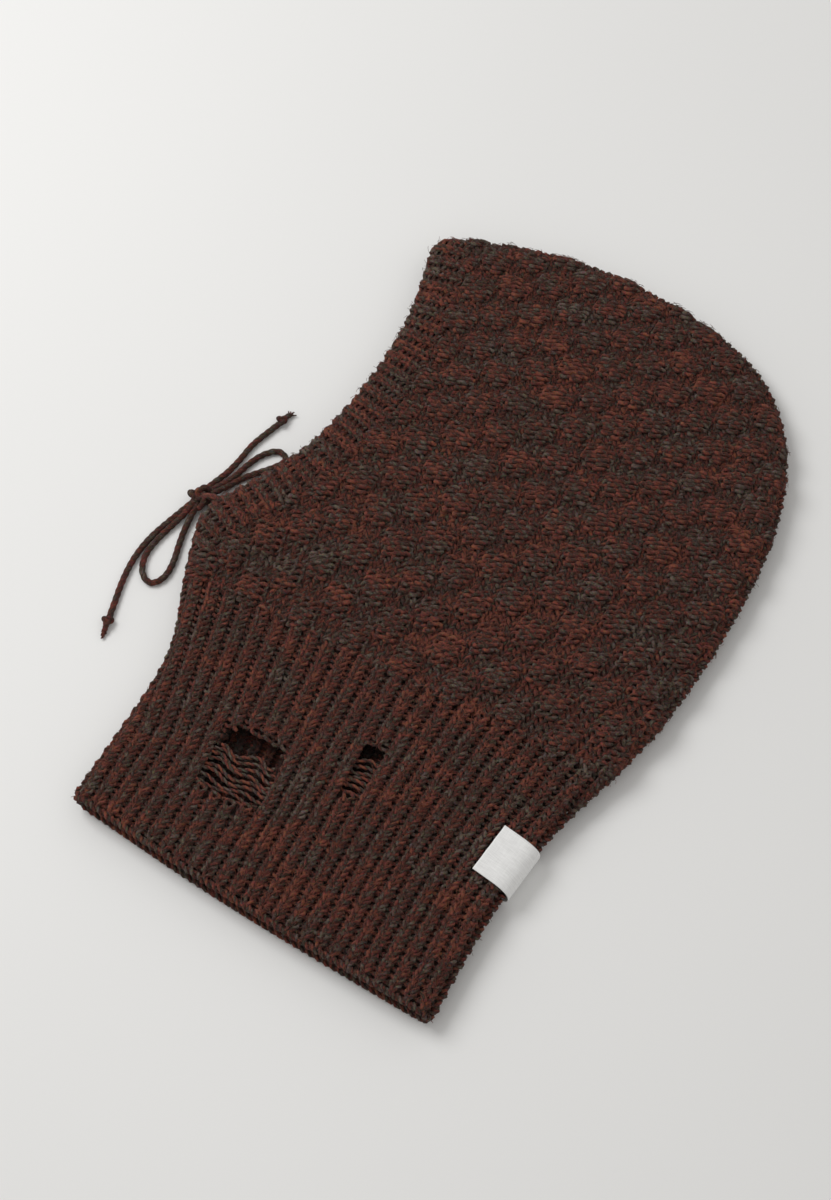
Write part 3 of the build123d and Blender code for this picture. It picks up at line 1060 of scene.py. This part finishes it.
def only_used(vertices, faces):
    """The vertices that faces use, and the faces renumbered."""
    used, renumbered = np.unique(faces.ravel(), return_inverse=True)
    return vertices[used], renumbered.reshape(faces.shape)


def ground_lines(half):
    return np.arange(-half - GROUND_REACH, half + GROUND_REACH + GROUND_CELL, GROUND_CELL)


def make_gap_shade(side):
    """A thin closed layer under the yarns, so that no light passes between them, coloured with painted shade."""
    xs, ys = ground_lines(HALF_DEPTH), ground_lines(HALF_LENGTH)
    corners = np.stack(np.meshgrid(xs, ys, indexing="ij"), axis=-1)
    centres = (corners[:-1, :-1] + GROUND_CELL / 2).reshape(-1, 2)
    kept = within_edges(centres, margin=1.0) & (centres[:, 1] > hem_y(centres[:, 0]) + GROUND_HEM)
    kept &= (face_map.distance(centres) > GROUND_FACE) & ~in_hole(centres, margin=0.5)
    faces = sheet_faces(kept.reshape(len(xs) - 1, len(ys) - 1))
    lift = HOOD_GROUND + (RIB_GROUND - HOOD_GROUND) * smooth_step(RIB_TOP_Y - corners[..., 1], 0, 6)
    places = placed(side)(corners[..., 0], corners[..., 1], lift).reshape(-1, 3)
    places, faces = only_used(places, faces)
    if side == "right":
        faces = faces[:, ::-1]
    piece = mesh_piece(f"knit_ground_{side}", places * MM, faces, gap_shade_finish)
    shell = piece.modifiers.new("thickness", "SOLIDIFY")
    shell.thickness = GROUND_THICKNESS * MM
    shell.offset = -1.0
    return settle(piece, "basketweave_knit", "hood", [])


for half in ("left", "right"):
    make_gap_shade(half)


# ------------ seams and edges
SCALLOP = 1.0                # the linked edges bulge out between their stitches
SCALLOP_PITCH = 9.0
EDGE_INWARD = 1.9            # the linked edges lie this far inside the outline
SEAM = {"yarn": seam_yarn, "slot": "seam_yarn"}
EDGE_CHAIN = {"sides": 8, "pitch": 9.0, "spread": 1.2, "radius": 1.4, **SEAM}
HEM_CHAIN = {"sides": 8, "pitch": 9.3, "spread": 1.1, "radius": 1.25, "yarn": rib_yarn, "slot": "rib_knit"}
LINKING_CHAIN = {"sides": 6, "pitch": 8.7, "spread": 0.9, "radius": 1.15, **SEAM}


def chain_piece(name, path, normals, chain, node):
    """Two yarns twisted round each other along a path, as a linked edge."""
    pile = YarnPile(chain["sides"])
    up, across = square_to(path, normals)
    for strand in range(2):
        turn = (TAU * lengths_along(path) / chain["pitch"] + math.pi * strand)[:, None]
        offset = chain["spread"] * (np.cos(turn) * up + np.sin(turn) * across)
        pile.add(path + offset, unit(offset), chain["radius"])
    pile.build(name, chain["yarn"], chain["slot"], "hood", [node])


def edge_chain(name, line, node):
    """A linked edge at mid height along a closed edge of the hood."""
    outside = raised(-left_of(tangents(line)), 0.0)
    ripple = SCALLOP * np.abs(np.sin(math.pi * lengths_along(line) / SCALLOP_PITCH))[:, None]
    chain_piece(name, raised(line, MID_Z) + (ripple - EDGE_INWARD) * outside, outside, EDGE_CHAIN, node)


crown_part = crown_line[crown_line[:, 1] >= RIB_TOP_Y]
nape_part = crown_line[crown_line[:, 1] < RIB_TOP_Y + 1]
crown_run = softened(np.concatenate([crown_part, forehead_cap[1:]]), CORNER_REACH)
edge_chain("crown_chain", crown_run, "crown_seam")
edge_chain("nape_chain", nape_part[2:], "nape_seam")
edge_chain("throat_chain", throat_line[4:-2], "throat_seam")


def make_hem(side):
    """The bound-off edge of one half."""
    x = np.arange(hem_line[0, 0] - 2, hem_line[-1, 0] + 4, 1.0)
    path, normals = path_on(placed(side), x, hem_y(x) + 0.6, 0 * x)
    chain_piece(f"hem_chain_{side}", path, normals, HEM_CHAIN, f"hem_bind_off_{side}")


def make_linking(side):
    """The row that closes the casing onto the hood."""
    points = casing_points(np.arange(1.0, casing_lengths[-1] - 1, 1.0), CASING_WIDTH + SEAM_GAP)
    x, y = points[within_edges(points)].T
    path, normals = path_on(placed(side), x, y, np.full(len(x), -0.2))
    chain_piece(f"linking_{side}", path, normals, LINKING_CHAIN, f"casing_linking_{side}")


for half in ("left", "right"):
    make_hem(half)
    make_linking(half)


# ------------ worn holes
FLOAT_RADIUS = 1.2
HOLE_GAP_SHARE = 0.33        # the top of each hole, where no yarn is left
KINK_PITCH = 23.0            # the floats keep a wave from the stitches they once were


def make_floats(size):
    """Loose yarns that bridge a worn hole, slack and waved, and nearly straight near its foot."""
    hole = HOLES[size]
    x_low, x_high = hole["x"]
    y_low, y_high = hole["y"]
    clear = y_high - HOLE_GAP_SHARE * (y_high - y_low)
    share = np.linspace(0, 1, 70)
    start = random.uniform(0, TAU)
    pile = YarnPile(FINE["sides"])
    for index in range(hole["floats"]):
        height = (index + random.uniform(0.35, 0.65)) / hole["floats"]
        start += random.normal(0, 0.35)
        reach = 1.0 - 0.35 * abs(2 * height - 1)**2
        x = (x_low + x_high) / 2 + (x_high - x_low + 5) * reach * (share - 0.5)
        ends = smooth_step(share, 0, 0.2) * smooth_step(1 - share, 0, 0.2)
        wave = hole["wave"] * (0.25 + height) * np.sin(TAU * x / KINK_PITCH + start)
        slack = random.normal(0, 1.0) * np.sin(TAU * share + random.uniform(0, TAU))
        y = y_low + (clear - y_low) * height + ends * (wave + slack) + random.normal(0, 0.6) * (share - 0.5)
        drop = 0.4 - ends * random.uniform(1.2, 3.2)
        path, normals = path_on(placed("left"), x, y, drop)
        pile.add(path, normals, FLOAT_RADIUS * random.uniform(0.85, 1.1), ply_depth=0.22)
    return pile.build(f"hole_floats_{size}", loose_yarn, "loose_yarn", "hood", [f"ladder_yarns_{size}"])


for hole_size in HOLES:
    make_floats(hole_size)


# ------------ label
LABEL_TILT = 8.0
LABEL_RIPPLE = 0.25
LABEL_RIPPLE_PITCH = 9.3
LABEL_SECTION = spline_through([
    (-19.6, 19.3), (-15.5, 19.0), (-10.0, 18.7), (-4.0, 18.0), (0.9, 15.4), (2.9, 11.6), (3.1, 9.0),
    (2.8, 6.0), (0.8, 2.6), (-4.5, 0.9), (-10.5, 0.5), (-20.0, 0.5),
], step=0.8)
LABEL_THICKNESS = 0.4


def make_label():
    """A blank woven label, folded round the back edge of the neck."""
    across = np.linspace(-LABEL_WIDTH / 2, LABEL_WIDTH / 2, 33)
    lengths = lengths_along(LABEL_SECTION)
    tilt = math.radians(-LABEL_TILT)
    outward = np.array([math.cos(tilt), math.sin(tilt)])
    x = LABEL_SECTION[:, None, 0] + 0 * across[None, :]
    z = LABEL_SECTION[:, None, 1] + 0 * across[None, :]
    top = smooth_step(z, 12, 18)
    z = z + top * LABEL_RIPPLE * np.sin(TAU * (across[None, :] + 0.2 * x) / LABEL_RIPPLE_PITCH)
    plan = np.array(LABEL_MIDDLE) + x[..., None] * outward + across[None, :, None] * left_of(outward)
    places = raised(plan, z).reshape(-1, 3)
    faces = sheet_faces(np.ones((len(lengths) - 1, len(across) - 1), bool))
    piece = mesh_piece("label_fold", places * MM, faces, label_satin)
    layer = piece.data.uv_layers.new(name="UVMap")
    flat = np.stack(np.meshgrid(lengths, across, indexing="ij"), axis=-1).reshape(-1, 2) * MM
    layer.data.foreach_set("uv", flat[faces.ravel()].astype(np.float32).ravel())
    skin = piece.modifiers.new("thickness", "SOLIDIFY")
    skin.thickness = LABEL_THICKNESS * MM
    settle(piece, "label_satin", "hood", ["label"])
    flat_size = (LABEL_WIDTH * MM, float(lengths[-1]) * MM)
    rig.sheet(piece, flat=flat_size, held="folded", rests_on=["nape_chain"])
    return piece


make_label()


# ------------ drawcord
CHIN_EXIT_Y = -18.0
KNOT_AT = (-152.0, CHIN_EXIT_Y, 5.6)
TABLE = CORD / 2 + 0.1       # height of a cord that lies on the table
CORD_TWIST = {"twist_pitch": 13.0, "ply_depth": 0.09, "plies": 3}
CORD_SPREAD = 1.04           # the plies bulge a little past the cord's plain radius
TAIL_UPPER = [
    (-153.0, -13.6, 4.2), (-151.6, -6.0, 2.4), (-148.0, 4.0, TABLE), (-145.8, 15.0, TABLE),
    (-144.8, 27.0, TABLE), (-141.0, 38.0, TABLE), (-138.3, 46.0, TABLE),
]
LOOP_UPPER = [
    (-150.0, -13.8, 6.4), (-146.4, -6.0, 4.4), (-142.6, 4.0, 2.6), (-140.6, 14.0, TABLE),
    (-136.6, 24.0, TABLE), (-129.2, 31.4, TABLE), (-121.6, 27.6, TABLE), (-126.0, 20.0, TABLE),
    (-133.2, 12.0, TABLE), (-139.6, 4.0, TABLE), (-143.4, -5.0, 3.4), (-147.4, -14.0, 6.4),
]
TAIL_LOWER = [
    (-154.6, -22.0, 4.6), (-158.4, -31.0, 2.6), (-162.0, -41.0, TABLE), (-165.3, -53.0, TABLE),
    (-166.4, -67.0, TABLE), (-164.6, -82.0, TABLE), (-161.4, -95.0, TABLE), (-159.0, -105.0, TABLE),
]
LOOP_LOWER = [
    (-153.4, -22.5, 6.0), (-155.4, -31.0, 3.0), (-158.6, -41.0, TABLE), (-161.2, -52.0, TABLE),
    (-162.0, -63.5, TABLE), (-157.6, -73.6, TABLE), (-149.8, -77.4, TABLE), (-144.6, -70.0, TABLE),
    (-145.4, -59.0, TABLE), (-148.6, -48.0, TABLE), (-151.0, -37.0, TABLE), (-151.6, -27.0, 3.2),
    (-151.4, -21.5, 6.0),
]
LOOPS = {"upper": LOOP_UPPER, "lower": LOOP_LOWER}
TAILS = {"upper": TAIL_UPPER, "lower": TAIL_LOWER}
TAIL_ENDS = {"upper": (-137.6, 48.4), "lower": (-158.4, -107.6)}
TUNNEL_ROUTE = [
    (-122.3, CHIN_EXIT_Y), (-118.2, CHIN_EXIT_Y), (-110.0, 10.0), (-99.0, 52.0), (-95.5, 95.0),
    (-96.0, 140.0), (-99.0, 170.0), (-104.5, 193.5), (-106.0, 199.0),
]
TUNNEL_LOW = 3.25
TUNNEL_HIGH = LAY_HEIGHT - TUNNEL_LOW
LEGS = {
    "left": [
        (-122.6, CHIN_EXIT_Y, TUNNEL_HIGH), (-140.0, CHIN_EXIT_Y, TUNNEL_HIGH), (-147.0, CHIN_EXIT_Y, 11.5),
        (-150.0, CHIN_EXIT_Y, 7.7),
    ],
    "right": [(x, CHIN_EXIT_Y, TUNNEL_LOW) for x in (-122.6, -135.0, -149.0)],
}


def smooth_route(points):
    """Points on the NURBS spline that has a route's points as its control points."""
    curve = bpy.data.curves.new("route", "CURVE")
    curve.dimensions = "3D"
    spline = curve.splines.new("NURBS")
    spline.points.add(len(points) - 1)
    for control, point in zip(spline.points, points):
        control.co = (*(value * MM for value in point), 1.0)
    spline.order_u = 3
    spline.use_endpoint_u = True
    spline.resolution_u = 10
    holder = bpy.data.objects.new("route", curve)
    mesh = bpy.data.meshes.new_from_object(holder)
    line = np.array([vertex.co for vertex in mesh.vertices]) / MM
    bpy.data.objects.remove(holder)
    bpy.data.meshes.remove(mesh)
    bpy.data.curves.remove(curve)
    return line


def cord_piece(name, line, node, body="drawcord"):
    """A soft three-strand cord along a line."""
    path = evenly(line, 0.6)
    pile = YarnPile(18)
    pile.add(path, np.tile([0.12, 0.05, 1.0], (len(path), 1)), CORD / 2 * CORD_SPREAD, **CORD_TWIST)
    return pile.build(name, cord_yarn, "drawcord_yarn", body, [node])


def nearly_up(path):
    """Normals for a small knot or a short end of cord."""
    return np.tile([0.1, 0.0, 1.0], (len(path), 1))


def trefoil(centre, size, rise, turn):
    """The closed line of an overhand knot, as wide as size."""
    t = np.linspace(0, TAU, 140)
    x = np.sin(t) + 2 * np.sin(2 * t)
    y = np.cos(t) - 2 * np.cos(2 * t)
    cos, sin = math.cos(turn), math.sin(turn)
    line = np.stack([x * cos - y * sin, x * sin + y * cos, -np.sin(3 * t) * rise], axis=1)
    return np.array(centre) + line * size / 6


def declare(cord, line, far_end, with_pieces=()):
    """Say that a piece is a free cord that follows a line."""
    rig.cord(
        cord, exit=tuple(line[0] * MM), length=float(lengths_along(line)[-1]) * MM, diameter=CORD * MM,
        far_end=far_end, stiffness="limp", lay="loose", path=line * MM, with_pieces=with_pieces,
    )


def make_bow():
    """The bow's knot with its two legs, its loops, and its tails with a knot at each end."""
    knot = YarnPile(16)
    for size, turn in ((12.5, 0.5), (8.0, 1.5)):
        line = trefoil(KNOT_AT, size, 1.6, turn)
        knot.add(line, nearly_up(line), CORD / 2, twist_pitch=11.0, ply_depth=0.09, plies=3)
    knot.build("bow_middle", cord_yarn, "drawcord_yarn", "drawcord", ["bow_knot"])
    for side, route in LEGS.items():
        cord_piece(f"cord_end_{side}", smooth_route(route), f"cord_leg_{side}")
    for end, route in LOOPS.items():
        line = smooth_route(route)
        declare(cord_piece(f"loop_{end}", line, f"bow_loop_{end}"), line, "object")
    for end, route in TAILS.items():
        line = smooth_route(route)
        tail = cord_piece(f"tail_{end}", line, f"cord_tail_{end}")
        declare(tail, line, "knot", with_pieces=[tail_end(end, line)])


STUB = 6.0                   # cord beyond a tail's end knot, before it frays
STRANDS = 16


def tail_end(end, line):
    """A small knot near the end of a tail, the stub beyond it, and its frayed tip."""
    heading = unit(line[-1] - line[-6])
    knot_at = np.array([*TAIL_ENDS[end], 3.0])
    pile = YarnPile(12)
    knot_line = trefoil(knot_at, 5.0, 0.9, 0.3)
    pile.add(knot_line, nearly_up(knot_line), 1.25, twist_pitch=7.0, ply_depth=0.1)
    share = np.linspace(0, 1, 12)[:, None]
    stub = knot_at + heading * STUB * share - (0, 0, 1.0) * share
    pile.add(stub, nearly_up(stub), 1.7, twist_pitch=6.0, ply_depth=0.14, plies=3)
    for _ in range(STRANDS):
        spread = np.array([*random.normal(0, 0.40, 2), random.normal(0, 0.12)])
        reach = random.uniform(2.0, 4.0)
        tip = stub[-1] + heading * (reach * share - 1.0) + spread * reach * share**1.4
        tip[:, 2] = np.maximum(tip[:, 2] * (1 - 0.3 * share[:, 0]), 0.6)
        pile.add(tip, nearly_up(tip), 0.6 * (1 - 0.4 * share[:, 0]), twist_pitch=3.0, ply_depth=0.1)
    return pile.build(f"tail_end_{end}", cord_yarn, "drawcord_yarn", "drawcord", [f"tail_knot_{end}"])


def make_hidden_cord():
    """The cord inside both casings, joined by its turn at the forehead."""
    upper = [(x, y, TUNNEL_HIGH) for x, y in TUNNEL_ROUTE]
    lower = [(x, y, TUNNEL_LOW) for x, y in reversed(TUNNEL_ROUTE)]
    return cord_piece("cord_in_casing", smooth_route(upper + lower), "drawcord_in_casing", body="hood")


make_bow()
make_hidden_cord()


# ------------ floor, light and camera
CAMERA = {"azimuth": -62.0, "elevation": 63.0, "distance": 1231.6, "view": 30.0}
TARGET = (-16.6, -16.1, 0.0)
KEY_LIGHT = {"azimuth": 177.0, "elevation": 50.0, "distance": 1600.0, "size": 900.0, "power": 13.2}
ROOM_LIGHT = {"colour": (1.0, 0.985, 0.968, 1), "strength": 0.55}
FLOOR_REACH = 5.0            # metres


def set_round_target(thing, spot):
    """Put a lamp or camera at a spot's distance from the target, facing it."""
    azimuth, elevation = math.radians(spot["azimuth"]), math.radians(spot["elevation"])
    flat = math.cos(elevation) * spot["distance"]
    thing.location = Vector((
        TARGET[0] + flat * math.cos(azimuth),
        TARGET[1] + flat * math.sin(azimuth),
        TARGET[2] + spot["distance"] * math.sin(elevation),
    )) * MM
    heading = Vector(TARGET) * MM - thing.location
    thing.rotation_euler = heading.to_track_quat("-Z", "Y").to_euler()
    bpy.context.scene.collection.objects.link(thing)


def make_floor():
    shader = Shader("floor_paper", roughness=0.7, specular=0.2)
    patches = shader.noise(shader.object_place(), 1.4)
    shader.colour(shader.ramp(patches, [(0.3, (0.80, 0.80, 0.79)), (0.7, (0.83, 0.83, 0.82))]))
    corners = FLOOR_REACH * np.array([(-1, -1, 0), (1, -1, 0), (1, 1, 0), (-1, 1, 0)])
    floor = mesh_piece("floor", corners, np.array([[0, 1, 2, 3]]), shader.material)
    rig.stage(floor)


def make_light():
    world = bpy.data.worlds.new("studio")
    world.use_nodes = True
    background = world.node_tree.nodes["Background"]
    background.inputs["Color"].default_value = ROOM_LIGHT["colour"]
    background.inputs["Strength"].default_value = ROOM_LIGHT["strength"]
    bpy.context.scene.world = world
    key = bpy.data.lights.new("key", "AREA")
    key.shape = "DISK"
    key.size = KEY_LIGHT["size"] * MM
    key.energy = KEY_LIGHT["power"]
    set_round_target(bpy.data.objects.new("key", key), KEY_LIGHT)


def make_camera():
    lens = bpy.data.cameras.new("camera")
    lens.sensor_fit = "VERTICAL"
    lens.angle = math.radians(CAMERA["view"])
    camera = bpy.data.objects.new("camera", lens)
    set_round_target(camera, CAMERA)
    bpy.context.scene.camera = camera


make_floor()
make_light()
make_camera()
bpy.context.scene.view_settings.view_transform = "Standard"

visual_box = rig.bounds()
sizes = {"cad": [list(corner) for corner in cad_box], "visual": [list(corner) for corner in visual_box]}
with open("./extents.json", "w") as out:
    json.dump(sizes, out)
